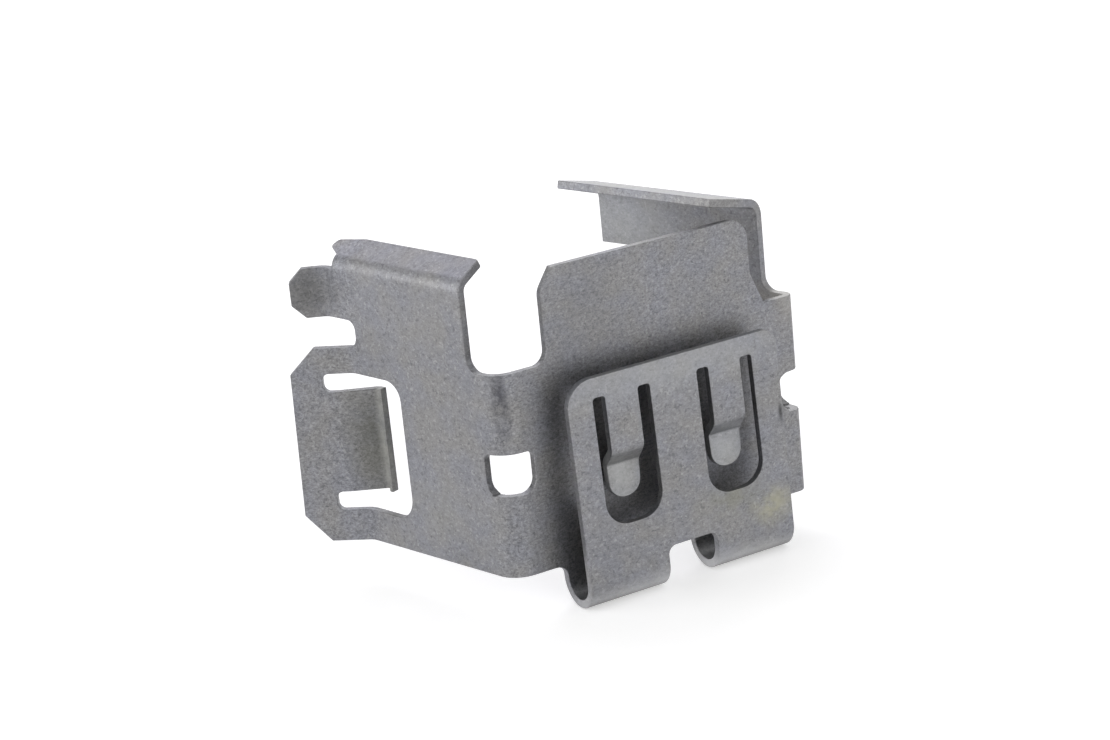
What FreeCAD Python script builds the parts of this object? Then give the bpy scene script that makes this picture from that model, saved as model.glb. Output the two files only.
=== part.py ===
# Stamped steel bracket folded from one sheet: a flat panel with a hemmed-up clip plate in front of it,
# a left wall with a folded frame and a pointed finger, and a right wing with a broad top flange.
# The origin is on the panel's outer face, midway across the clip and level with the panel's lower edge.
# X runs along the panel, Y runs inward from its outer face and Z runs up along the main folds.
import FreeCAD, Part
import math
import os
import Sketcher
from FreeCAD import Placement, Rotation, Vector

SIZES = {
    # the sheet, and the mould corners of the panel measured from the middle of the clip
    "gauge": 0.9,
    "corner_left": 18.6,
    "corner_right": 18.36,
    "skirt_top": 22.1,
    # panel
    "panel_half": 12.48,
    "panel_top": 31.79,
    "panel_round": 2.2,
    "chamfer_across": 1.53,
    "chamfer_drop": 2.3,
    "chamfer_round": 2.0,
    "shoulder_top": 25.7,
    "shoulder_out": 1.5,
    "shoulder_round": 2.0,
    # fold and notch between the panel and the left wall
    "left_fold": 74.0,
    "left_bend": 3.0,
    "notch_floor": 21.9,
    "notch_left": 3.95,
    "notch_round": 1.5,
    # hole across the left fold
    "hole_low": 8.9,
    "hole_high": 13.4,
    "hole_left": 2.85,
    "hole_right": 3.52,
    "hole_low_round": 1.5,
    "hole_high_round": 0.8,
    # frame folded outward from the left wall
    "frame_top": 21.82,
    "frame_start": 21.5,
    "frame_fold": 35.4,
    "outward_bend": 1.5,
    "frame_low_reach": 7.27,
    "frame_high_reach": 6.87,
    "frame_low_cut": 3.0,
    "frame_low_in": 2.7,
    "frame_high_cut": 2.8,
    "frame_high_in": 2.75,
    # C-shaped opening across the frame's fold
    "window_right": 14.6,
    "window_low": 3.53,
    "window_high": 18.95,
    "window_high_round": 2.0,
    "window_low_round": 2.6,
    "window_arm_reach": 3.47,
    "window_arm_round": 0.74,
    # tongue that the opening leaves on the frame
    "tongue_root": 2.0,
    "tongue_low": 5.62,
    "tongue_high": 16.9,
    "tongue_fold": 10.0,
    "tongue_bend": 2.0,
    "tongue_length": 4.02,
    "lip_fold": 41.4,
    "lip_bend": 0.4,
    "lip_length": 0.58,
    "lip_low": 5.18,
    # finger at the top of the left wall and the slot below it
    "slot_end": 20.45,
    "slot_round": 1.35,
    "slot_high_round": 1.0,
    "finger_low": 24.83,
    "finger_high": 30.25,
    "finger_start": 24.4,
    "finger_fold": 45.0,
    "finger_reach": 3.7,
    "finger_cut": 1.45,
    "finger_neck": 23.4,
    "flange_root_end": 22.95,
    # flange on the left wall
    "left_root": 30.1,
    "left_flange_fold": 62.0,
    "left_flange_bend": 1.8,
    "left_flange_reach": 3.74,
    "left_flange_full": 20.6,
    "left_flange_far": 24.6,
    "left_flange_nose": 0.3,
    "left_flange_step": 0.68,
    "left_flange_under": 0.9,
    "left_flange_near_round": 0.4,
    "left_flange_nose_round": 0.7,
    "left_flange_far_round": 0.5,
    # right wing
    "wing_fold": 109.8,
    "wing_bend": 1.15,
    "wing_near": 4.08,
    "wing_far": 25.65,
    "wing_arm_low": 25.2,
    "wing_leg": 11.0,
    "wing_root": 30.3,
    "wing_crotch_round": 4.0,
    "wing_near_round": 1.5,
    "wing_flange_fold": 75.0,
    "wing_flange_bend": 2.2,
    "wing_flange_near_reach": 8.9,
    "wing_flange_far_reach": 7.66,
    # relief hole across the wing's fold
    "relief_low": 9.3,
    "relief_high": 13.8,
    "relief_panel": 3.15,
    "relief_wing": 3.5,
    "relief_round": 1.9,
    "relief_high_round": 1.1,
    # hems below the panel and the clip plate that they carry
    "hem_bend": 1.945,
    "hem_drop": 1.25,
    "hem_gap_half": 3.0,
    "hem_end_round": 1.2,
    "hem_gap_rise": 0.5,
    "hem_gap_round": 0.95,
    "clip_lean": 3.9,
    "clip_half": 12.55,
    "clip_flare": 0.36,
    "clip_top": 20.32,
    "clip_left_round": 3.0,
    "clip_right_round": 1.7,
    # U-shaped slots of the clip plate and their tongues
    "slot_offset": 6.225,
    "slot_width": 6.75,
    "slot_low": 4.33,
    "slot_high": 18.15,
    "slot_low_round": 2.6,
    "slot_arm": 1.42,
    "slot_arm_round": 0.35,
    "spring_low": 6.6,
    "spring_bend_top": 11.9,
    "spring_joggle": 1.55,
    "joggle_slope": 45.0,
    "spring_bend": 0.5,
    "spring_taper": 0.12,
    # how far a cut runs clear of the sheet and past a mould corner, and beside the round end of a tongue
    "cut_clear": 1.2,
    "cut_overlap": 0.7,
    "end_clear": 0.4,
    # share of a tongue's width that the radius of its end takes
    "end_round_share": 0.46,
}

os.makedirs("parts", exist_ok=True)
doc = FreeCAD.newDocument("bracket")
sheet = doc.addObject("Spreadsheet::Sheet", "Sizes")
for row, (alias, number) in enumerate(SIZES.items(), 1):
    sheet.set(f"A{row}", alias)
    sheet.set(f"B{row}", str(number))
    sheet.setAlias(f"B{row}", alias)
doc.recompute()


class Size:
    """A number together with the formula that gives it from the sheet."""

    def __init__(self, value, text):
        self.value = value
        self.text = text

    def __add__(self, other):
        other = sized(other)
        return Size(self.value + other.value, f"({self.text} + {other.text})")

    def __sub__(self, other):
        other = sized(other)
        return Size(self.value - other.value, f"({self.text} - {other.text})")

    def __mul__(self, other):
        other = sized(other)
        return Size(self.value * other.value, f"({self.text} * {other.text})")

    def __truediv__(self, other):
        other = sized(other)
        return Size(self.value / other.value, f"({self.text} / {other.text})")

    def __neg__(self):
        return Size(-self.value, f"(0 - {self.text})")


def sized(number):
    """A plain number as a Size; a Size stays as it is."""
    return number if isinstance(number, Size) else Size(float(number), str(number))


def size(alias):
    """The named cell of the sheet."""
    return Size(SIZES[alias], f"Sizes.{alias}")


def tangent(angle):
    """Tangent of an angle in degrees."""
    return Size(math.tan(math.radians(angle.value)), f"tan({angle.text})")


def setback(bend, fold):
    """Distance from a mould corner to where a bend of that radius starts."""
    return bend * tangent(fold / 2)


body = doc.addObject("PartDesign::Body", "bracket")
body.Label = "bracket"
planes = {feature.Role: feature for feature in body.Origin.OriginFeatures}


def frame(name, parent, base, axis, angle):
    """A datum coordinate system on its parent: moved by base, then turned by angle about axis."""
    datum = body.newObject("PartDesign::CoordinateSystem", name)
    datum.AttachmentSupport = [(parent, "")]
    datum.MapMode = "FlatFace" if parent.Name.startswith("XY_Plane") else "ObjectXY"
    turned = sized(angle)
    moves = [sized(part) for part in base]
    datum.AttachmentOffset = Placement(Vector(*[move.value for move in moves]), Rotation(axis, turned.value))
    for letter, move in zip("xyz", moves):
        datum.setExpression(f"AttachmentOffset.Base.{letter}", move.text)
    if turned.value:
        datum.setExpression("AttachmentOffset.Rotation.Angle", turned.text)
    doc.recompute()
    return datum


def sketch_on(name, support, mode, offset=0):
    """An empty sketch on a frame or an origin plane, moved along its normal by offset."""
    sketch = body.newObject("Sketcher::SketchObject", name)
    sketch.AttachmentSupport = [(support, "")]
    sketch.MapMode = mode
    lift = sized(offset)
    sketch.AttachmentOffset = Placement(Vector(0, 0, lift.value), Rotation())
    sketch.setExpression("AttachmentOffset.Base.z", lift.text)
    return sketch


def pin_down(sketch, geometry, end, across, up):
    """Holds one point of the sketch at its distances from the sketch's origin."""
    for kind, axis, place in (("DistanceX", -2, across), ("DistanceY", -1, up)):
        if place.text == "0":
            sketch.addConstraint(Sketcher.Constraint("PointOnObject", geometry, end, axis))
            continue
        held = sketch.addConstraint(Sketcher.Constraint(kind, -1, 1, geometry, end, place.value))
        sketch.setExpression(f"Constraints[{held}]", place.text)


def outline(sketch, corners):
    """Draws a closed outline through corners given as (across, up) or (across, up, radius)."""
    places = [(sized(corner[0]), sized(corner[1])) for corner in corners]
    radii = [sized(corner[2]) if len(corner) > 2 else None for corner in corners]
    points = [Vector(across.value, up.value, 0) for across, up in places]
    count = len(points)
    arrive, leave = list(points), list(points)
    arcs = {}
    for index in range(count):
        if radii[index] is None:
            continue
        back = (points[index - 1] - points[index]).normalize()
        ahead = (points[(index + 1) % count] - points[index]).normalize()
        half = back.getAngle(ahead) / 2
        radius = radii[index].value
        arrive[index] = points[index] + back * (radius / math.tan(half))
        leave[index] = points[index] + ahead * (radius / math.tan(half))
        centre = points[index] + (back + ahead).normalize() * (radius / math.sin(half))
        left_turn = back.cross(ahead).z < 0
        start, stop = (arrive[index], leave[index]) if left_turn else (leave[index], arrive[index])
        begin = math.atan2(start.y - centre.y, start.x - centre.x)
        end = math.atan2(stop.y - centre.y, stop.x - centre.x)
        if end < begin:
            end += 2 * math.pi
        circle = Part.Circle(centre, Vector(0, 0, 1), radius)
        arcs[index] = (Part.ArcOfCircle(circle, begin, end), left_turn)
    lines = [
        sketch.addGeometry(Part.LineSegment(leave[index], arrive[(index + 1) % count]), False)
        for index in range(count)
    ]
    for index in range(count):
        before, after = lines[index - 1], lines[index]
        if index not in arcs:
            sketch.addConstraint(Sketcher.Constraint("Coincident", before, 2, after, 1))
            pin_down(sketch, after, 1, *places[index])
            continue
        arc, left_turn = arcs[index]
        drawn = sketch.addGeometry(arc, False)
        first, last = (1, 2) if left_turn else (2, 1)
        corner = sketch.addGeometry(Part.Point(points[index]), True)
        sketch.addConstraint(Sketcher.Constraint("Tangent", before, 2, drawn, first))
        sketch.addConstraint(Sketcher.Constraint("Tangent", drawn, last, after, 1))
        sketch.addConstraint(Sketcher.Constraint("PointOnObject", corner, 1, before))
        sketch.addConstraint(Sketcher.Constraint("PointOnObject", corner, 1, after))
        held = sketch.addConstraint(Sketcher.Constraint("Radius", drawn, radii[index].value))
        sketch.setExpression(f"Constraints[{held}]", radii[index].text)
        pin_down(sketch, corner, 1, *places[index])


def box(left, low, right, high):
    """The four corners of a rectangle."""
    return [(left, low), (right, low), (right, high), (left, high)]


def flat(name, support, mode, corners, inward, offset=0, width=None):
    """A flat piece of the sheet: its outline padded by the gauge, or by width for a side profile."""
    sketch = sketch_on(name + "_outline", support, mode, offset)
    outline(sketch, corners)
    pad = body.newObject("PartDesign::Pad", name)
    pad.Profile = sketch
    pad.setExpression("Length", sized(width or gauge).text)
    pad.Reversed = inward
    pad.Midplane = width is not None
    doc.recompute()
    return pad


def bend(name, support, mode, axis, sections, angle, backward):
    """A bend of the sheet: rectangular sections turned about an axis through the sketch's origin."""
    sketch = sketch_on(name + "_section", support, mode)
    for section in sections:
        outline(sketch, box(*section))
    turn = body.newObject("PartDesign::Revolution", name)
    turn.Profile = sketch
    turn.ReferenceAxis = (sketch, [axis])
    turn.setExpression("Angle", angle.text)
    turn.Reversed = backward
    doc.recompute()
    return turn


def cut(name, support, mode, corners, depth, offset=0):
    """A hole through the sheet, cut equally to both sides of the sketch."""
    sketch = sketch_on(name + "_outline", support, mode, offset)
    outline(sketch, corners)
    pocket = body.newObject("PartDesign::Pocket", name)
    pocket.Profile = sketch
    pocket.Midplane = True
    pocket.setExpression("Length", (depth * 2).text)
    doc.recompute()
    return pocket


HALF_TURN = 180.0
UP = Vector(0, 0, 1)
DOWN = Vector(0, 0, -1)
ALONG = Vector(1, 0, 0)
AGAINST = Vector(-1, 0, 0)

gauge = size("gauge")
corner_left = size("corner_left")
corner_right = size("corner_right")
skirt_top = size("skirt_top")
through = gauge + size("cut_clear")
overlap = size("cut_overlap")

# panel: lower edge with the roots of the two hems, right shoulder, rounded tab and chamfered left corner
left_bend = size("left_bend")
left_setback = setback(left_bend, size("left_fold"))
wing_bend = size("wing_bend")
wing_setback = setback(wing_bend, size("wing_fold"))
panel_half = size("panel_half")
panel_top = size("panel_top")
hem_root = -size("hem_drop")
hem_gap = size("hem_gap_half")
clip_half = size("clip_half")
hem_end_round = size("hem_end_round")
shoulder_foot = panel_half + size("shoulder_out")
notch_floor = size("notch_floor")
panel_left = left_setback - corner_left
panel_right = corner_right - wing_setback
flat("panel", planes["XZ_Plane"], "FlatFace", [
    (panel_left, 0),
    (-clip_half, 0, hem_end_round),
    (-clip_half, hem_root),
    (-hem_gap, hem_root),
    (-hem_gap, 0, size("hem_gap_round")),
    (hem_gap, 0, size("hem_gap_round")),
    (hem_gap, hem_root),
    (clip_half, hem_root),
    (clip_half, 0, hem_end_round),
    (panel_right, 0),
    (panel_right, skirt_top),
    (shoulder_foot, skirt_top),
    (panel_half, size("shoulder_top"), size("shoulder_round")),
    (panel_half, panel_top, size("panel_round")),
    (size("chamfer_across") - panel_half, panel_top),
    (-panel_half, panel_top - size("chamfer_drop"), size("chamfer_round")),
    (-panel_half, notch_floor, size("notch_round")),
    (panel_left, notch_floor),
], True)

# fold between the panel and the left wall, and the wall up to the root of its flange
left_axis = frame("left_axis", planes["XY_Plane"], (panel_left, left_bend, 0), UP, 0)
bend("left_fold", left_axis, "ObjectYZ", "V_Axis", [(-left_bend, 0, gauge - left_bend, notch_floor)],
     size("left_fold"), True)
left_frame = frame("left_frame", planes["XY_Plane"], (-corner_left, 0, 0), UP, -size("left_fold") + HALF_TURN)
outward_bend = size("outward_bend")
frame_setback = setback(outward_bend, size("frame_fold"))
finger_setback = setback(outward_bend, size("finger_fold"))
wall_end = size("frame_start") - frame_setback
left_root = size("left_root")
slot_end = size("slot_end")
finger_low = size("finger_low")
finger_high = size("finger_high")
finger_neck = size("finger_neck")
neck_end = size("finger_start") - finger_setback
root_end = size("flange_root_end")
frame_top = size("frame_top")
flat("left_wall", left_frame, "ObjectXZ", [
    (left_setback, 0),
    (wall_end, 0),
    (wall_end, frame_top),
    (slot_end, frame_top, size("slot_round")),
    (slot_end, finger_low, size("slot_high_round")),
    (neck_end, finger_low),
    (neck_end, finger_high),
    (finger_neck, finger_high),
    (root_end, left_root),
    (size("notch_left"), left_root),
    (size("notch_left"), notch_floor, size("notch_round")),
    (left_setback, notch_floor),
], False)

# frame beyond the C-shaped opening, folded outward, with its two cut corners
frame_start = size("frame_start")
frame_axis = frame("frame_axis", left_frame, (wall_end, outward_bend, 0), UP, 0)
bend("frame_bend", frame_axis, "ObjectYZ", "V_Axis", [(-outward_bend - gauge, 0, -outward_bend, frame_top)],
     size("frame_fold"), False)
frame_frame = frame("frame_frame", left_frame, (frame_start, 0, 0), UP, size("frame_fold"))
low_reach = size("frame_low_reach")
high_reach = size("frame_high_reach")
flat("frame_plate", frame_frame, "ObjectXZ", [
    (frame_setback, 0),
    (low_reach - size("frame_low_in"), 0),
    (low_reach, size("frame_low_cut")),
    (high_reach, frame_top - size("frame_high_cut")),
    (high_reach - size("frame_high_in"), frame_top),
    (frame_setback, frame_top),
], False)

# C-shaped opening: the bay in the wall, then the bay in the frame with an arm above and below the tongue
window_low = size("window_low")
window_high = size("window_high")
tongue_root = size("tongue_root")
tongue_low = size("tongue_low")
tongue_high = size("tongue_high")
arm_reach = size("window_arm_reach")
arm_round = size("window_arm_round")
cut("wall_bay", left_frame, "ObjectXZ", [
    (size("window_right"), window_low, size("window_low_round")),
    (frame_start + overlap, window_low),
    (frame_start + overlap, window_high),
    (size("window_right"), window_high, size("window_high_round")),
], through)
cut("frame_bay", frame_frame, "ObjectXZ", [
    (-overlap, window_low),
    (arm_reach, window_low, arm_round),
    (arm_reach, tongue_low, arm_round),
    (tongue_root, tongue_low),
    (tongue_root, tongue_high),
    (arm_reach, tongue_high, arm_round),
    (arm_reach, window_high, arm_round),
    (-overlap, window_high),
], through)

# tongue in the opening, folded gently inward, with a lip turned back outward along its free edge
tongue_bend = size("tongue_bend")
tongue_fold = size("tongue_fold")
tongue_setback = setback(tongue_bend, tongue_fold)
tongue_height = tongue_high - tongue_low
lip_bend = size("lip_bend")
lip_setback = setback(lip_bend, size("lip_fold"))
tongue_axis = frame("tongue_axis", frame_frame, (tongue_root, -tongue_bend, tongue_low), UP, 0)
bend("tongue_fold", tongue_axis, "ObjectYZ", "V_Axis", [(tongue_bend - gauge, 0, tongue_bend, tongue_height)],
     tongue_fold, False)
tongue_frame = frame("tongue_frame", frame_frame, (tongue_root - tongue_setback, 0, 0), UP,
                     tongue_fold + HALF_TURN)
tongue_length = size("tongue_length")
flat("tongue", tongue_frame, "ObjectXZ",
     box(tongue_setback, tongue_low, tongue_length - lip_setback, tongue_high), True)
lip_axis = frame("lip_axis", tongue_frame, (tongue_length - lip_setback, -lip_bend, tongue_low), UP, 0)
bend("lip_fold", lip_axis, "ObjectYZ", "V_Axis", [(lip_bend, 0, lip_bend + gauge, tongue_height)],
     size("lip_fold"), True)
lip_frame = frame("lip_frame", tongue_frame, (tongue_length, 0, 0), DOWN, size("lip_fold"))
flat("lip", lip_frame, "ObjectXZ", box(lip_setback, size("lip_low"), size("lip_length"), tongue_high), True)

# finger above the slot, folded outward like the frame, with its two cut corners
finger_height = finger_high - finger_low
finger_reach = size("finger_reach")
finger_cut = size("finger_cut")
finger_axis = frame("finger_axis", left_frame, (neck_end, outward_bend, finger_low), UP, 0)
bend("finger_bend", finger_axis, "ObjectYZ", "V_Axis",
     [(-outward_bend - gauge, 0, -outward_bend, finger_height)], size("finger_fold"), False)
finger_frame = frame("finger_frame", left_frame, (size("finger_start"), 0, 0), UP, size("finger_fold"))
flat("finger", finger_frame, "ObjectXZ", [
    (finger_setback, finger_low),
    (finger_reach - finger_cut, finger_low),
    (finger_reach, finger_low + finger_cut),
    (finger_reach, finger_high - finger_cut),
    (finger_reach - finger_cut, finger_high),
    (finger_setback, finger_high),
], False)

# flange along the top of the left wall, folded inward, with a pointed far end that stands clear of the wall
flange_bend = size("left_flange_bend")
flange_fold = size("left_flange_fold")
flange_setback = setback(flange_bend, flange_fold)
flange_near = size("notch_left")
flange_far = size("left_flange_far")
flange_reach = size("left_flange_reach")
flange_axis = frame("left_flange_axis", left_frame, (0, -flange_bend, left_root), UP, 0)
bend("left_flange_fold", flange_axis, "ObjectXY", "H_Axis",
     [(flange_near, flange_bend - gauge, root_end, flange_bend)], flange_fold, False)
flange_frame = frame("left_flange_frame", left_frame, (0, 0, left_root + flange_setback), ALONG, flange_fold)
flat("left_flange", flange_frame, "ObjectXZ", [
    (flange_near, flange_setback),
    (root_end, flange_setback),
    (flange_far, flange_setback + size("left_flange_under"), size("left_flange_far_round")),
    (flange_far - size("left_flange_nose"), flange_reach - size("left_flange_step"),
     size("left_flange_nose_round")),
    (size("left_flange_full"), flange_reach),
    (flange_near, flange_reach, size("left_flange_near_round")),
], False)

# right wing: its fold, the leg that stands beside the panel and the arm that runs on above it
wing_fold = size("wing_fold")
wing_near = size("wing_near")
wing_far = size("wing_far")
wing_root = size("wing_root")
wing_axis = frame("wing_axis", planes["XY_Plane"], (panel_right, wing_bend, 0), UP, 0)
bend("wing_fold", wing_axis, "ObjectYZ", "V_Axis", [(-wing_bend, 0, gauge - wing_bend, skirt_top)],
     wing_fold, False)
wing_frame = frame("wing_frame", planes["XY_Plane"], (corner_right, 0, 0), UP, wing_fold)
flat("wing", wing_frame, "ObjectXZ", [
    (wing_setback, 0),
    (size("wing_leg"), 0),
    (size("wing_leg"), size("wing_arm_low"), size("wing_crotch_round")),
    (wing_far, size("wing_arm_low")),
    (wing_far, wing_root),
    (wing_near, wing_root),
    (wing_near, skirt_top, size("wing_near_round")),
    (wing_setback, skirt_top),
], True)
wing_flange_bend = size("wing_flange_bend")
wing_flange_fold = size("wing_flange_fold")
wing_flange_setback = setback(wing_flange_bend, wing_flange_fold)
wing_flange_axis = frame("wing_flange_axis", wing_frame, (0, wing_flange_bend, wing_root), UP, 0)
bend("wing_flange_fold", wing_flange_axis, "ObjectXY", "H_Axis",
     [(wing_near, -wing_flange_bend, wing_far, gauge - wing_flange_bend)], wing_flange_fold, True)
wing_flange_frame = frame("wing_flange_frame", wing_frame, (0, 0, wing_root + wing_flange_setback),
                          AGAINST, wing_flange_fold)
flat("wing_flange", wing_flange_frame, "ObjectXZ", [
    (wing_near, wing_flange_setback),
    (wing_far, wing_flange_setback),
    (wing_far, size("wing_flange_far_reach")),
    (wing_near, size("wing_flange_near_reach")),
], True)

# rounded holes across the two folds, each cut square to both faces that it crosses
hole_low = size("hole_low")
hole_high = size("hole_high")
hole_right = size("hole_right") - corner_left
cut("left_hole_wall", left_frame, "ObjectXZ", [
    (-overlap, hole_low),
    (size("hole_left"), hole_low, size("hole_low_round")),
    (size("hole_left"), hole_high, size("hole_high_round")),
    (-overlap, hole_high),
], through)
cut("left_hole_panel", planes["XZ_Plane"], "FlatFace", [
    (-corner_left - overlap, hole_low),
    (hole_right, hole_low, size("hole_low_round")),
    (hole_right, hole_high, size("hole_high_round")),
    (-corner_left - overlap, hole_high),
], through)
relief_low = size("relief_low")
relief_high = size("relief_high")
relief_round = size("relief_round")
relief_left = corner_right - size("relief_panel")
cut("relief_panel_side", planes["XZ_Plane"], "FlatFace", [
    (corner_right + overlap, relief_low),
    (corner_right + overlap, relief_high),
    (relief_left, relief_high, size("relief_high_round")),
    (relief_left, relief_low, relief_round),
], through)
cut("relief_wing_side", wing_frame, "ObjectXZ", [
    (-overlap, relief_low),
    (size("relief_wing"), relief_low, relief_round),
    (size("relief_wing"), relief_high, size("relief_high_round")),
    (-overlap, relief_high),
], through)

# two hems rolled forward under the panel and the clip plate that they carry, leaning back towards the panel
hem_bend = size("hem_bend")
clip_lean = size("clip_lean")
hem_drop = size("hem_drop")
hem_outer = hem_bend + gauge
hem_frame = frame("hem_frame", planes["XY_Plane"], (0, -hem_bend, -hem_drop), UP, 0)
bend("hems", hem_frame, "ObjectXY", "H_Axis",
     [(-clip_half, hem_bend, -hem_gap, hem_outer), (hem_gap, hem_bend, clip_half, hem_outer)],
     clip_lean + HALF_TURN, True)
clip_frame = frame("clip_frame", hem_frame, (0, 0, 0), AGAINST, clip_lean)
clip_top = size("clip_top") + hem_drop
clip_gap_top = size("hem_gap_rise") + hem_drop
flat("clip_plate", clip_frame, "ObjectXZ", [
    (-clip_half, 0),
    (-hem_gap, 0),
    (-hem_gap, clip_gap_top, size("hem_gap_round")),
    (hem_gap, clip_gap_top, size("hem_gap_round")),
    (hem_gap, 0),
    (clip_half, 0),
    (clip_half + size("clip_flare"), clip_top, size("clip_right_round")),
    (-clip_half, clip_top, size("clip_left_round")),
], False, hem_bend)

# right slot: a U-shaped cut that frees a spring tongue, joggled back towards the panel, with a round end
slot_middle = size("slot_offset")
slot_left = slot_middle - size("slot_width") / 2
slot_right = slot_middle + size("slot_width") / 2
slot_low = size("slot_low") + hem_drop
slot_high = size("slot_high") + hem_drop
arm = size("slot_arm")
slot_arm_round = size("slot_arm_round")
spring_left = slot_left + arm
spring_right = slot_right - arm
spring_width = spring_right - spring_left
spring_turn = size("spring_bend_top") + hem_drop
spring_top = spring_turn + gauge
spring_low = size("spring_low") + hem_drop
joggle = size("spring_joggle")
spring_bend = size("spring_bend")
plate_middle = hem_bend + gauge / 2
slot = cut("slot", clip_frame, "ObjectXZ", [
    (slot_left, slot_low, size("slot_low_round")),
    (slot_right, slot_low, size("slot_low_round")),
    (slot_right, slot_high, slot_arm_round),
    (spring_right, slot_high, slot_arm_round),
    (spring_right, spring_top),
    (spring_left, spring_top),
    (spring_left, slot_high, slot_arm_round),
    (slot_left, slot_high, slot_arm_round),
], gauge, plate_middle)
joggle_slope = size("joggle_slope")
joggle_end = spring_turn - joggle / tangent(joggle_slope)
joggle_shift = setback(gauge, joggle_slope)
spring = flat("spring", clip_frame, "ObjectYZ", [
    (-hem_outer, spring_top),
    (-hem_outer, spring_turn, spring_bend + gauge),
    (joggle - hem_outer, joggle_end, spring_bend),
    (joggle - hem_outer, spring_low),
    (joggle - hem_bend, spring_low),
    (joggle - hem_bend, joggle_end + joggle_shift, spring_bend + gauge),
    (-hem_bend, spring_turn + joggle_shift, spring_bend),
    (-hem_bend, spring_top),
], False, slot_middle, spring_width)
end_round = spring_width * size("end_round_share")
taper = size("spring_taper")
end_clear = size("end_clear")
spring_end = cut("spring_end", clip_frame, "ObjectXZ", [
    (spring_left - end_clear, spring_low - end_clear),
    (spring_right + end_clear, spring_low - end_clear),
    (spring_right + end_clear, spring_low + spring_width),
    (spring_right, spring_low + spring_width),
    (spring_right - taper, spring_low, end_round),
    (spring_left + taper, spring_low, end_round),
    (spring_left, spring_low + spring_width),
    (spring_left - end_clear, spring_low + spring_width),
], gauge, plate_middle - joggle)
other_slot = body.newObject("PartDesign::Mirrored", "other_slot")
other_slot.Originals = [slot, spring, spring_end]
other_slot.MirrorPlane = (planes["YZ_Plane"], [""])
body.Tip = other_slot
doc.recompute()

for thing in doc.Objects:
    if "Invalid" in thing.State or "Error" in thing.State:
        raise ValueError(f"{thing.Name} failed: {thing.State}")
shape = body.Shape
if shape.isNull() or not shape.isValid() or len(shape.Solids) != 1:
    raise ValueError("bracket is not one valid solid")
shape.exportStep("parts/" + body.Label + ".step")
bounds = shape.BoundBox
print("bracket", round(shape.Volume, 2), "mm3", round(bounds.XLength, 2), round(bounds.YLength, 2),
      round(bounds.ZLength, 2), "mm", len(shape.Faces), "faces")
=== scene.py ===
import math

import bmesh
import bpy
from mathutils import Matrix, Vector
from mathutils.bvhtree import BVHTree
from mathutils.geometry import intersect_point_line


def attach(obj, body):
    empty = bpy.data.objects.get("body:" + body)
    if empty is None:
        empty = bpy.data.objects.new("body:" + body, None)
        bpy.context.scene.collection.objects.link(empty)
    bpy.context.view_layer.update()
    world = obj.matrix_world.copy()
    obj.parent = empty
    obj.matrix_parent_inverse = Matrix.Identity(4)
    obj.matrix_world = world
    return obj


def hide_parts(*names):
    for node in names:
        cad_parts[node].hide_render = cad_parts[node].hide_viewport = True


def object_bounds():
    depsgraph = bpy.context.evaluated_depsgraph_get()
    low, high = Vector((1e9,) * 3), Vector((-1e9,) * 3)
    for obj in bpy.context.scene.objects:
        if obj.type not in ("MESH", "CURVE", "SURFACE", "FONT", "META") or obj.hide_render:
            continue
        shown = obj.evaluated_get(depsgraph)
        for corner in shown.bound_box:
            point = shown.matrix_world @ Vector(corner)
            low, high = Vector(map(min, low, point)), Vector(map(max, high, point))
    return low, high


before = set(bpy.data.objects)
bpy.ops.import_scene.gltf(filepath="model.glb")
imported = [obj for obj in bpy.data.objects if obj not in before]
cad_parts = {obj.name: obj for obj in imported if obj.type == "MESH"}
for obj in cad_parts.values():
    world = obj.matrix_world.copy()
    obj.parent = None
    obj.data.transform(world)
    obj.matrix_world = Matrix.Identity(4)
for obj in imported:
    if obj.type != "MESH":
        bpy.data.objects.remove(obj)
cad_low, cad_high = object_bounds()

MM = 0.001
WHITE = (1.0, 1.0, 1.0)

# The sheet: a face whose other side is one gauge away is skin, and any other face is a cut edge.
GAUGE = 0.9 * MM
GAUGE_SLACK = 0.2 * MM
PROBE_DEPTH = 0.11 * MM  # how far under a face the probe through the sheet starts
FLAT_ANGLE = math.radians(0.6)  # faces closer in direction than this become one
MERGE = 0.002 * MM  # corners closer than this become one
SKIN, CUT = 0, 1

# The rounding of the sharp edges, and how the shading runs over it.
EDGE_ROUND = 0.11 * MM
ROUND_SEGMENTS = 2
SHARP_ANGLE = math.radians(38)
SHARP_REACH = 0.3 * MM  # how close to a fold in the rounding an edge stays sharp
ROUNDING_TRIES = 6
ROUNDING_ANGLE = math.radians(60)
BEND_FACET = 1.0 * MM  # a face narrower than this belongs to a bend
FLAT_WEIGHT = 1000.0

# The photograph's camera, solved from the folded plates: its place and its three axes.
CAMERA_PLACE = Vector((-134.505, -226.708, 107.442)) * MM
CAMERA_RIGHT = Vector((0.85953845, -0.50207831, -0.09545169))
CAMERA_UP = Vector((0.23900486, 0.22980806, 0.94343253))
CAMERA_BACK = Vector((-0.45174144, -0.83372995, 0.31752802))
FOCAL_PIXELS = 2700
FRAME_PIXELS = 1110
SENSOR = 36
CLIP_START = 0.01

# The studio: the floor and the world are white to the camera, and light the part more weakly.
WORLD_LEVEL = 0.5
FLOOR_REACH = 3.0
FLOOR_GAP = 0.02 * MM
FLOOR_TONE = 0.86
FLOOR_GLOW_SEEN = 0.45
FLOOR_GLOW_MIRRORED = 0.65
LAMP_AIM = Vector((0.0, 0.01, 0.015))
# name, place, size, power, colour
LAMPS = (
    ("top_back", (0.05, 0.45, 0.55), 0.5, 1.15, (0.92, 0.9, 1.0)),
    ("left_back", (-0.6, 0.2, 0.2), 0.4, 1.4, WHITE),
    ("right_back", (0.45, 0.5, 0.25), 0.4, 0.75, WHITE),
    ("front", (0.1, -0.6, 0.2), 0.4, 0.85, WHITE),
    ("right_front", (0.55, -0.35, 0.25), 0.4, 0.3, WHITE),
)

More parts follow.
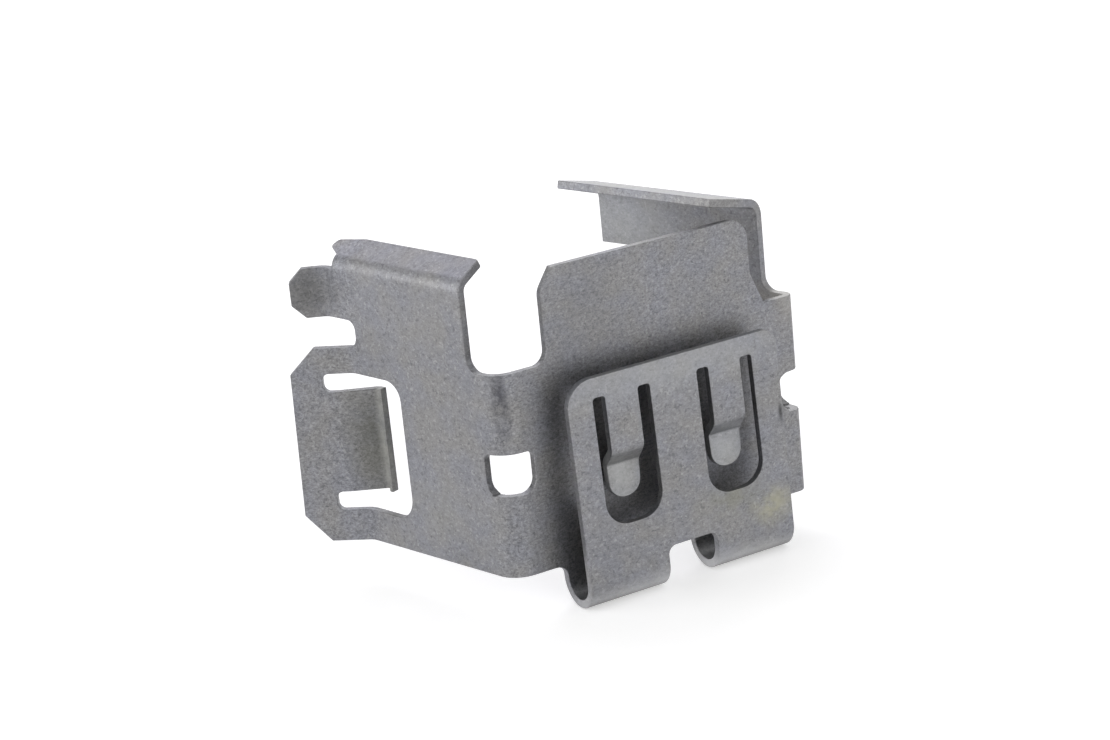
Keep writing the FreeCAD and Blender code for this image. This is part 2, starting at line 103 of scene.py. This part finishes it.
# The coating's grain: noise scale, detail, roughness, distortion, and how far it shades.
PEBBLE = (2100, 2.0, 0.55, 0.3, 0.2)
GRAIN = (3900, 2.0, 0.6, 0.0, 0.26)
FINE = (10500, 1.0, 0.5, 0.0, 0.14)
MOTTLE = (900, 3.0, 0.6, 0.3, 0.08)
FLATTEN = (1.0, 1.0, 1.5)  # the pebbles and the grain are a little flatter than they are wide
NOISE_RANGE = (0.3, 0.7)  # the part of a noise's values that counts
CLOUD_SCALE = 130
CLOUD_SWING = 0.04
TINT_SCALE = 260
TINT_RANGE = (0.35, 0.65)

# The grain is calmer on the side walls and on the clip plate. Each range is a depth, along Y,
# over which it changes.
SIDE_WALL_FRONT = (0.5 * MM, 3 * MM)
SIDE_WALL_BACK = (20 * MM, 18 * MM)
SIDE_WALL_GRAIN = 0.62
CLIP_PLATE = (-2.5 * MM, -1 * MM)
CLIP_PLATE_GRAIN = 0.72

# Specks and streaks: noise scale, detail, roughness, its values from none to full, strength.
DARK_SPECKS = (2300, 2.0, 0.5, 0.61, 0.68, 0.55)
LIGHT_SPECKS = (2700, 1.0, 0.4, 0.64, 0.71, 0.5)
STREAKS = (5200, 3.0, 0.7, 0.42, 0.62, 0.8)

# The coating's surface.
METALLIC = 0.9
SMOOTHER, ROUGHER = 0.06, 0.08  # how far the grain changes the roughness, down and up
PEBBLE_HEIGHT, GRAIN_HEIGHT = 0.6, 0.4
BUMP_STRENGTH = 0.5
BUMP_DEPTH = 0.04 * MM

# Painted shade, darkest where the sheet stands close to itself: from full to none over the open
# share.
GAP_REACH = 4.5 * MM
OPEN_SHARE = (0.03, 0.36)
GAP_SHADE_COLOUR = (0.025, 0.023, 0.018, 1.0)
GAP_SHADE_STRENGTH = 0.85

# The patches fade out between these shares of their reach, with rims made ragged by a noise.
PATCH_FADE = (1.2, 0.2)
RAGGED_NOISE = (620, 3.0, 0.6)
RAGGED_RANGE = (0.35, 0.6)

# Stains, rubbed marks, painted light and painted shade: centre and reach in mm, colour, strength,
# evenness.
SKIN_STAINS_AND_PAINTED_LIGHT = (
    ((5.5, -4.5, 4.0), (4.6, 1.6, 2.2), (0.17, 0.17, 0.12), 0.40, 0.1),
    ((10.2, -4.6, 1.7), (2.8, 1.6, 2.2), (0.34, 0.33, 0.22), 0.50, 0.1),
    # Painted light: the two springs lightened to the tone of the clip plate.
    ((-6.8, -2.9, 9.3), (3.2, 1.05, 4.6), (0.38, 0.39, 0.39), 0.50, 0.5),
    ((5.7, -2.9, 9.3), (3.2, 1.05, 4.6), (0.38, 0.39, 0.39), 0.55, 0.5),
    # Painted light: the top of the clip plate lightened.
    ((0.0, -3.2, 19.4), (17.0, 1.4, 3.0), (0.36, 0.37, 0.38), 0.35, 0.8),
    # Painted reflection: the hem bottoms lightened as the white floor would light them.
    ((0.0, -3.6, -3.9), (17.0, 4.0, 2.6), (0.60, 0.60, 0.61), 0.75, 0.8),
    # Painted shade: the finger darkened.
    ((-27.1, 24.4, 28.0), (3.6, 3.6, 4.2), (0.07, 0.07, 0.07), 0.60, 0.8),
    # Painted shade: the tongue darkened towards its lip.
    ((-23.3, 20.3, 11.0), (3.0, 3.0, 7.4), (0.07, 0.07, 0.055), 0.62, 0.8),
    ((-17.9, 0.5, 18.8), (0.9, 1.1, 3.6), (0.05, 0.05, 0.06), 0.85, 0.2),
    # Painted shade: the panel darkened above and left of the clip plate.
    ((-8.0, 0.0, 26.0), (6.0, 1.0, 7.0), (0.10, 0.10, 0.10), 0.22, 0.6),
    ((16.5, 2.6, 20.0), (2.6, 3.0, 3.4), (0.26, 0.23, 0.19), 0.35, 0.3),
    ((-22.5, 9.0, 6.0), (3.0, 4.0, 4.0), (0.25, 0.25, 0.22), 0.25, 0.3),
    # Painted light: the upper part of the wing's inner face lightened.
    ((9.5, 21.0, 28.0), (6.0, 10.0, 6.0), (0.36, 0.37, 0.38), 0.45, 0.8),
    # Painted light: the corner fold between the panel and the wing lightened, a little warm.
    ((17.3, 1.2, 26.0), (1.9, 2.2, 8.0), (0.36, 0.35, 0.32), 0.50, 0.8),
    # Painted shade: a small dark mark for the shade between the clip plate's right edge and the
    # panel.
    ((12.4, -3.95, 11.3), (0.3, 0.5, 1.2), (0.03, 0.03, 0.03), 0.90, 0.8),
    # Painted light: the tongue's lip lightened.
    ((-22.2, 19.6, 11.2), (0.8, 0.8, 7.4), (0.36, 0.36, 0.33), 0.60, 0.3),
)
# The same for the cut edges, all painted light and painted shade: the clip plate's top, the wing
# flange's rim, the panel's top.
CUT_PAINTED_LIGHT_AND_SHADE = (
    # Painted light: the clip plate's top edge lightened.
    ((0.0, -2.9, 20.4), (19.0, 1.7, 1.2), (0.50, 0.50, 0.51), 0.75, 0.5),
    # Painted shade: the wing flange's rim darkened.
    ((7.0, 10.0, 33.4), (7.0, 17.0, 2.0), (0.07, 0.07, 0.07), 0.70, 0.7),
    # Painted highlight: the panel's top edge lightened.
    ((3.0, 0.5, 31.8), (13.0, 1.0, 1.0), (0.50, 0.50, 0.56), 0.70, 0.7),
)


class Nodes:
    """Short helper around a node tree: adds nodes, sets their inputs and links them."""

    def __init__(self, tree):
        self.tree = tree
        tree.nodes.clear()

    def add(self, kind, settings=None, **inputs):
        node = self.tree.nodes.new(kind)
        for key, value in (settings or {}).items():
            setattr(node, key, value)
        for key, value in inputs.items():
            self.feed(node, key.replace("_", " "), value)
        return node

    def feed(self, node, key, value):
        socket = node.inputs[key]
        if isinstance(value, bpy.types.NodeSocket):
            self.tree.links.new(value, socket)
        else:
            socket.default_value = value

    def math(self, operation, first, second, clamp=False):
        node = self.add("ShaderNodeMath", {"operation": operation, "use_clamp": clamp})
        self.feed(node, 0, first)
        self.feed(node, 1, second)
        return node.outputs[0]

    def vector(self, operation, first, second):
        node = self.add("ShaderNodeVectorMath", {"operation": operation})
        self.feed(node, 0, first)
        self.feed(node, 1, second)
        return node.outputs["Vector"]

    def noise(self, place, scale, detail=2.0, roughness=0.5, distortion=0.0):
        node = self.add("ShaderNodeTexNoise", Vector=place, Scale=scale, Detail=detail,
                        Roughness=roughness, Distortion=distortion)
        return node.outputs["Fac"]

    def ramp(self, value, low, high, to_low=0.0, to_high=1.0):
        node = self.add("ShaderNodeMapRange", {"clamp": True}, Value=value, From_Min=low,
                        From_Max=high, To_Min=to_low, To_Max=to_high)
        return node.outputs["Result"]

    def mix(self, amount, first, second, blend="MIX"):
        """Mix two colours: the node's colour sockets are 6 and 7, and its colour output is 2."""
        node = self.add("ShaderNodeMix", {"data_type": "RGBA", "blend_type": blend})
        for key, value in ((0, amount), (6, first), (7, second)):
            self.feed(node, key, value)
        return node.outputs[2]


def grey(value, warm=0.0, cool=0.0):
    return (value * (1 + warm), value, value * (1 + cool), 1.0)


def swing(nodes, noise, reach, middle=0.0):
    """A noise turned into a value that swings by reach around the middle."""
    return nodes.ramp(noise, *NOISE_RANGE, middle - reach, middle + reach)


def grain_strength(nodes, place):
    """How strong the grain is: the side walls and the clip plate are calmer than the panel."""
    depth = nodes.add("ShaderNodeSeparateXYZ", Vector=place).outputs["Y"]
    side_wall = nodes.math("MULTIPLY", nodes.ramp(depth, *SIDE_WALL_FRONT),
                           nodes.ramp(depth, *SIDE_WALL_BACK))
    return nodes.math("MULTIPLY", nodes.ramp(side_wall, 0.0, 1.0, 1.0, SIDE_WALL_GRAIN),
                      nodes.ramp(depth, *CLIP_PLATE, CLIP_PLATE_GRAIN, 1.0))


def speckle(nodes, place, colour, row, speck):
    """Scatter specks of one colour over another."""
    *look, none, full, strength = row
    amount = nodes.ramp(nodes.noise(place, *look), none, full, 0.0, strength)
    return nodes.mix(amount, colour, speck)


def patches(nodes, place, colour, rows):
    """Lay patches with ragged rims over a colour: stains and rubbed marks, and painted light and
    painted shade.
    """
    ragged = nodes.noise(place, *RAGGED_NOISE)
    for centre, reach, patch_tone, strength, evenness in rows:
        moved = nodes.vector("SUBTRACT", place, [number * MM for number in centre])
        scaled = nodes.vector("DIVIDE", moved, [number * MM for number in reach])
        away = nodes.add("ShaderNodeVectorMath", {"operation": "LENGTH"}, Vector=scaled)
        inside = nodes.ramp(away.outputs["Value"], *PATCH_FADE)
        amount = nodes.math("MULTIPLY", inside, nodes.ramp(ragged, *RAGGED_RANGE, evenness, 1.0))
        colour = nodes.mix(nodes.math("MULTIPLY", amount, strength), colour, (*patch_tone, 1.0))
    return colour


def painted_gap_shade(nodes, colour):
    """Painted shade: darken a colour where the sheet stands close to itself."""
    opening = nodes.add("ShaderNodeAmbientOcclusion", {"samples": 8}, Distance=GAP_REACH)
    gap_shade = nodes.ramp(opening.outputs["AO"], *OPEN_SHARE, GAP_SHADE_STRENGTH, 0.0)
    return nodes.mix(gap_shade, colour, GAP_SHADE_COLOUR)


def zinc_material(name, tone, roughness, cut=False):
    """Matt zinc coating: pebbled grain, soft mottling, specks, stains with painted light and
    painted shade in patches, and painted shade in gaps.
    """
    material = bpy.data.materials.new(name)
    material.use_nodes = True
    nodes = Nodes(material.node_tree)
    place = nodes.add("ShaderNodeTexCoord").outputs["Object"]
    flattened = nodes.vector("MULTIPLY", place, FLATTEN)

    pebble = nodes.noise(flattened, *PEBBLE[:4])
    grain = nodes.noise(flattened, *GRAIN[:4])
    shade = nodes.math("ADD", swing(nodes, pebble, PEBBLE[4]), swing(nodes, grain, GRAIN[4]))
    for row in (FINE, MOTTLE):
        shade = nodes.math("ADD", shade, swing(nodes, nodes.noise(place, *row[:4]), row[4]))
    shade = nodes.math("MULTIPLY", shade, grain_strength(nodes, place))
    cloud = nodes.noise(place, CLOUD_SCALE)
    shade = nodes.math("ADD", shade, swing(nodes, cloud, CLOUD_SWING, middle=1.0))

    tint = nodes.ramp(nodes.noise(place, TINT_SCALE), *TINT_RANGE)
    colour = nodes.mix(tint, grey(tone, -0.015, 0.085), grey(tone, 0.01))
    shades = nodes.add("ShaderNodeCombineColor", Red=shade, Green=shade, Blue=shade)
    colour = nodes.mix(1.0, colour, shades.outputs[0], "MULTIPLY")
    colour = speckle(nodes, place, colour, DARK_SPECKS, grey(tone * 0.5, cool=0.05))
    colour = speckle(nodes, place, colour, LIGHT_SPECKS, grey(tone * 1.6))
    if cut:
        colour = speckle(nodes, place, colour, STREAKS, grey(tone * 0.42, 0.03, -0.02))
        # Painted light and painted shade on the cut edges.
        colour = patches(nodes, place, colour, CUT_PAINTED_LIGHT_AND_SHADE)
    else:
        # Stains, painted light and painted shade in patches, then painted shade in the gaps.
        colour = painted_gap_shade(nodes, patches(nodes, place, colour, SKIN_STAINS_AND_PAINTED_LIGHT))

    rough = nodes.ramp(grain, *NOISE_RANGE, roughness - SMOOTHER, roughness + ROUGHER)
    height = nodes.math("ADD", nodes.math("MULTIPLY", pebble, PEBBLE_HEIGHT),
                        nodes.math("MULTIPLY", grain, GRAIN_HEIGHT))
    bump = nodes.add("ShaderNodeBump", Strength=BUMP_STRENGTH, Distance=BUMP_DEPTH, Height=height)
    surface = nodes.add("ShaderNodeBsdfPrincipled", Base_Color=colour, Metallic=METALLIC,
                        Roughness=rough, Normal=bump.outputs["Normal"])
    nodes.add("ShaderNodeOutputMaterial", Surface=surface.outputs[0])
    return material


def near_edge(edge, places):
    """Whether an edge passes close to one of the places."""
    start, end = (vert.co for vert in edge.verts)
    for place in places:
        nearest, share = intersect_point_line(place, start, end)
        nearest = start if share < 0 else end if share > 1 else nearest
        if (nearest - place).length < SHARP_REACH:
            return True
    return False


def round_edges(sheet, left_sharp):
    """Round the sharp edges, apart from those close to the places in left_sharp."""
    sharp = [edge for edge in sheet.edges if len(edge.link_faces) == 2
             and edge.calc_face_angle() > SHARP_ANGLE and not near_edge(edge, left_sharp)]
    made = bmesh.ops.bevel(sheet, geom=sharp, offset=EDGE_ROUND, segments=ROUND_SEGMENTS,
                           profile=0.5, affect="EDGES", clamp_overlap=False,
                           loop_slide=True, material=SKIN)
    rounding = sheet.faces.layers.int["rounding"]
    for face in made["faces"]:
        face[rounding] = 1
    bmesh.ops.remove_doubles(sheet, verts=sheet.verts, dist=MERGE)
    bmesh.ops.dissolve_degenerate(sheet, edges=sheet.edges, dist=MERGE)


def folded_places(sheet, before):
    """Where the rounding made faces cross one another or moved a corner away from the sheet."""
    sheet.faces.ensure_lookup_table()
    faces = sheet.faces
    places = []
    tree = BVHTree.FromBMesh(sheet)
    for first, second in tree.overlap(tree):
        if first < second and not set(faces[first].verts) & set(faces[second].verts):
            places += [faces[first].calc_center_median(), faces[second].calc_center_median()]
    places += [vert.co.copy() for vert in sheet.verts
               if before.find_nearest(vert.co)[3] > EDGE_ROUND / 2]
    return places


def rounded_copy(sheet, before):
    """The sheet with its sharp edges rounded, apart from those where that folds over itself."""
    left_sharp = []
    for _ in range(ROUNDING_TRIES):
        rounded = sheet.copy()
        round_edges(rounded, left_sharp)
        folds = folded_places(rounded, before)
        if not folds:
            return rounded
        left_sharp += folds
        rounded.free()
    return sheet.copy()


def set_order(sheet):
    """Put corners, edges and faces in order of place: the rounding orders them anew each run."""
    def middle(part):
        return tuple(sum((vert.co for vert in part.verts), Vector()) / len(part.verts))

    for parts, key in ((sheet.verts, lambda vert: tuple(vert.co)), (sheet.edges, middle),
                       (sheet.faces, middle)):
        for index, part in enumerate(sorted(parts, key=key)):
            part.index = index
        parts.sort()


def face_weight(face, rounding):
    """How much a face turns the shading at its corners: flats most, the rounding not at all."""
    if face[rounding]:
        return 0.0
    longest = max(edge.calc_length() for edge in face.edges)
    return 1.0 if face.calc_area() < BEND_FACET * longest else FLAT_WEIGHT


def shading_normals(sheet):
    """A normal per face corner: flats stay flat, bends run smooth, the rounding joins the two."""
    rounding = sheet.faces.layers.int["rounding"]
    weight = {face: face_weight(face, rounding) for face in sheet.faces}
    normals = []
    for face in sheet.faces:
        widest = ROUNDING_ANGLE if face[rounding] else SHARP_ANGLE
        for corner in face.loops:
            total, plain = Vector(), Vector()
            for other in corner.vert.link_loops:
                if other.face.normal.angle(face.normal, 0.0) < widest:
                    total += other.face.normal * other.calc_angle() * weight[other.face]
                    plain += other.face.normal * other.calc_angle()
            normals.append((total if total.length > 0 else plain).normalized())
    return normals


def rounded_sheet(node, name):
    """A copy of the CAD sheet with rounded edges, and its cut faces in a slot of their own."""
    piece = bpy.data.objects.new(name, node.data.copy())
    bpy.context.scene.collection.objects.link(piece)
    sheet = bmesh.new()
    sheet.from_mesh(piece.data)
    bmesh.ops.remove_doubles(sheet, verts=sheet.verts, dist=MERGE)
    bmesh.ops.dissolve_limit(sheet, angle_limit=FLAT_ANGLE, verts=sheet.verts, edges=sheet.edges)
    sheet.normal_update()
    tree = BVHTree.FromBMesh(sheet)
    for face in sheet.faces:
        start = face.calc_center_median_weighted() - face.normal * PROBE_DEPTH
        hit, _, _, distance = tree.ray_cast(start, -face.normal)
        through = distance + PROBE_DEPTH if hit is not None else math.inf
        face.material_index = SKIN if abs(through - GAUGE) < GAUGE_SLACK else CUT
    sheet.faces.layers.int.new("rounding")
    rounded = rounded_copy(sheet, tree)
    set_order(rounded)
    for face in rounded.faces:
        face.smooth = True
    normals = shading_normals(rounded)
    rounded.to_mesh(piece.data)
    piece.data.normals_split_custom_set(normals)
    sheet.free()
    rounded.free()
    return piece


def area_light(name, place, size, power, colour):
    light = bpy.data.lights.new(name, "AREA")
    light.shape = "SQUARE"
    light.size = size
    light.energy = power
    light.color = colour
    lamp = bpy.data.objects.new(name, light)
    lamp.location = place
    lamp.rotation_euler = (LAMP_AIM - Vector(place)).to_track_quat("-Z", "Y").to_euler()
    bpy.context.scene.collection.objects.link(lamp)


def seen_directly(nodes, camera=1.0, mirrored=1.0):
    """How strongly a ray sees the white background: from the camera, or in metal and glass."""
    path = nodes.add("ShaderNodeLightPath").outputs
    shine = nodes.math("ADD", path["Is Glossy Ray"], path["Is Transmission Ray"], clamp=True)
    return nodes.math("ADD", nodes.math("MULTIPLY", path["Is Camera Ray"], camera),
                      nodes.math("MULTIPLY", shine, mirrored))


def make_floor():
    mesh = bpy.data.meshes.new("floor")
    corners = [(-1, -1), (1, -1), (1, 1), (-1, 1)]
    mesh.from_pydata([(x * FLOOR_REACH, y * FLOOR_REACH, 0) for x, y in corners], [],
                     [(0, 1, 2, 3)])
    floor = bpy.data.objects.new("floor", mesh)
    floor.location.z = cad_low[2] - FLOOR_GAP
    bpy.context.scene.collection.objects.link(floor)
    material = bpy.data.materials.new("floor_white")
    material.use_nodes = True
    nodes = Nodes(material.node_tree)
    plain = nodes.add("ShaderNodeBsdfDiffuse", Color=grey(FLOOR_TONE))
    glow = nodes.add("ShaderNodeEmission", Color=(*WHITE, 1.0),
                     Strength=seen_directly(nodes, FLOOR_GLOW_SEEN, FLOOR_GLOW_MIRRORED))
    both = nodes.add("ShaderNodeAddShader")
    nodes.feed(both, 0, plain.outputs[0])
    nodes.feed(both, 1, glow.outputs[0])
    nodes.add("ShaderNodeOutputMaterial", Surface=both.outputs[0])
    mesh.materials.append(material)


def make_world():
    world = bpy.data.worlds.new("studio")
    bpy.context.scene.world = world
    world.use_nodes = True
    nodes = Nodes(world.node_tree)
    strength = nodes.ramp(seen_directly(nodes), 0.0, 1.0, WORLD_LEVEL, 1.0)
    shine = nodes.add("ShaderNodeBackground", Color=(*WHITE, 1.0), Strength=strength)
    nodes.add("ShaderNodeOutputWorld", Surface=shine.outputs[0])


def make_camera():
    data = bpy.data.cameras.new("camera")
    data.sensor_fit = "HORIZONTAL"
    data.sensor_width = SENSOR
    data.lens = SENSOR * FOCAL_PIXELS / FRAME_PIXELS
    data.clip_start = CLIP_START
    camera = bpy.data.objects.new("camera", data)
    turn = Matrix((CAMERA_RIGHT, CAMERA_UP, CAMERA_BACK)).transposed()
    camera.matrix_world = Matrix.Translation(CAMERA_PLACE) @ turn.to_4x4()
    bpy.context.scene.collection.objects.link(camera)
    bpy.context.scene.camera = camera


piece = rounded_sheet(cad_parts["bracket"], "folded_sheet")
piece.data.materials.clear()
piece.data.materials.append(zinc_material("zinc_skin", 0.2, 0.46))
piece.data.materials.append(zinc_material("cut_edge", 0.18, 0.5, cut=True))
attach(piece, "root")
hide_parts("bracket")

make_floor()
make_world()
make_camera()
for lamp in LAMPS:
    area_light(*lamp)
bpy.context.scene.view_settings.view_transform = "Standard"
